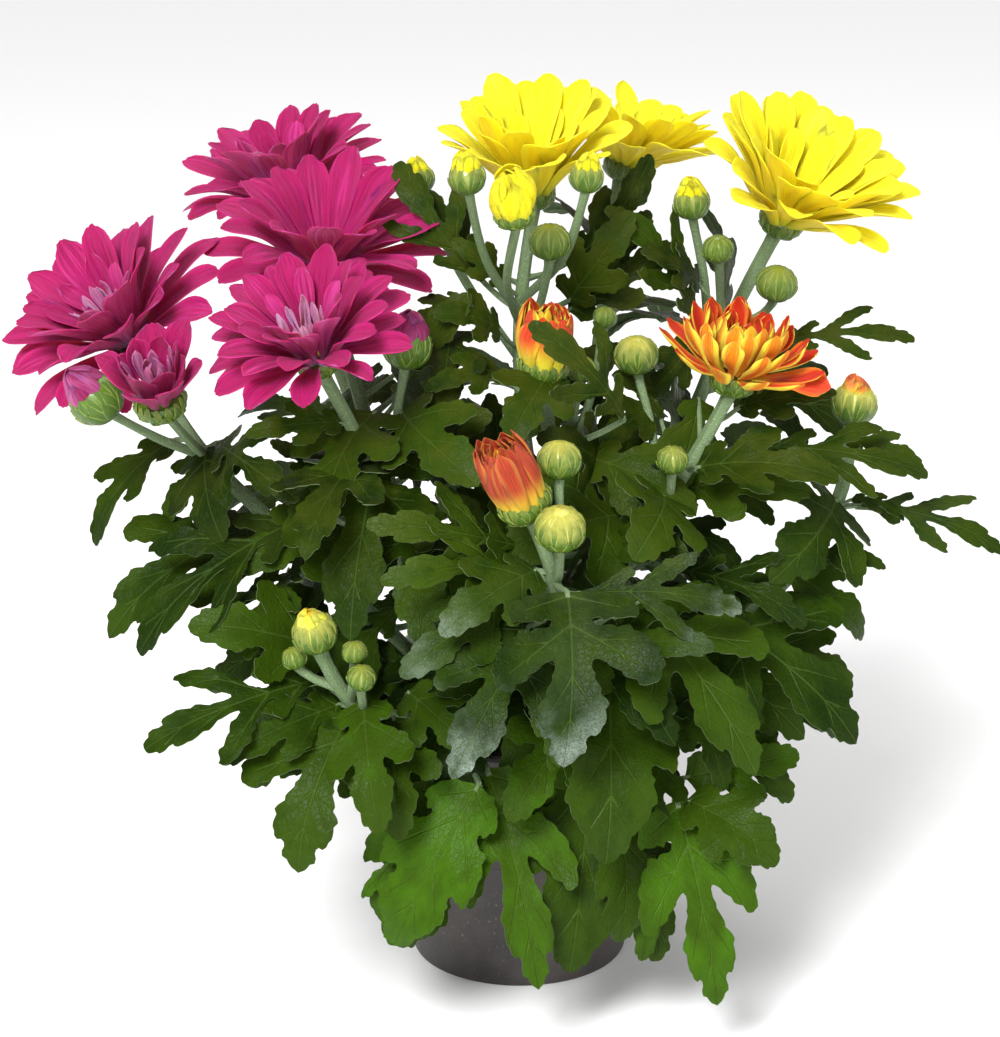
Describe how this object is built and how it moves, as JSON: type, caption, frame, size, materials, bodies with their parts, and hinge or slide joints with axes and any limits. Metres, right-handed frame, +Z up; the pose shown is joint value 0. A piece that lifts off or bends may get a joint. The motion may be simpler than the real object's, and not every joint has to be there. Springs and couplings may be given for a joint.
{
  "type": "pot chrysanthemum",
  "caption": "Leafy chrysanthemum in a plastic nursery pot: magenta, yellow and orange blooms, half-open heads and round buds over lobed dark green leaves, rooted in soil.",
  "frame": {"origin": "centre of the pot's underside", "axes": "+Z up, the front of the plant faces -Y, +X to its right"},
  "size_m": [0.2853, 0.2061, 0.2667],
  "materials": {
    "pot": "dull dark grey-brown moulded plastic",
    "soil": "moist dark peat with crumbs and fibres",
    "leaf": "satin dark green leaf with paler veins, and grey-green stems",
    "magenta": "soft matte magenta petals with fine lengthwise streaks",
    "yellow": "soft matte bright yellow petals with fine lengthwise folds",
    "orange": "soft matte petals, red-orange inside and yellow outside",
    "disc": "yellow-green packed florets"
  },
  "bodies": {
    "root": {"pot": "pot", "soil": "soil", "plant_magenta": "leaf", "plant_yellow": "leaf", "plant_orange": "leaf", "bloom_magenta_left": "magenta", "bloom_magenta_top": "magenta", "bloom_magenta_front": "magenta", "bloom_magenta_back": "magenta", "opening_magenta_low": "magenta", "bud_tip_magenta_left": "magenta", "bud_tip_magenta_right": "magenta", "bloom_yellow_top": "yellow", "bloom_yellow_back": "yellow", "bloom_yellow_right": "yellow", "opening_yellow_front": "yellow", "bud_tip_yellow_left": "yellow", "bud_tip_yellow_far": "yellow", "bud_tip_yellow_middle": "yellow", "bud_tip_yellow_right": "yellow", "bloom_orange_right": "orange", "opening_orange_middle": "orange", "opening_orange_front": "orange", "bud_tip_orange_far": "orange", "bud_tip_orange_low": "orange", "disc_magenta_left": "disc", "disc_magenta_top": "disc", "disc_magenta_front": "disc", "disc_magenta_back": "disc", "disc_yellow_top": "disc", "disc_yellow_back": "disc", "disc_yellow_right": "disc", "disc_orange_right": "disc"}
  },
  "joints": []
}
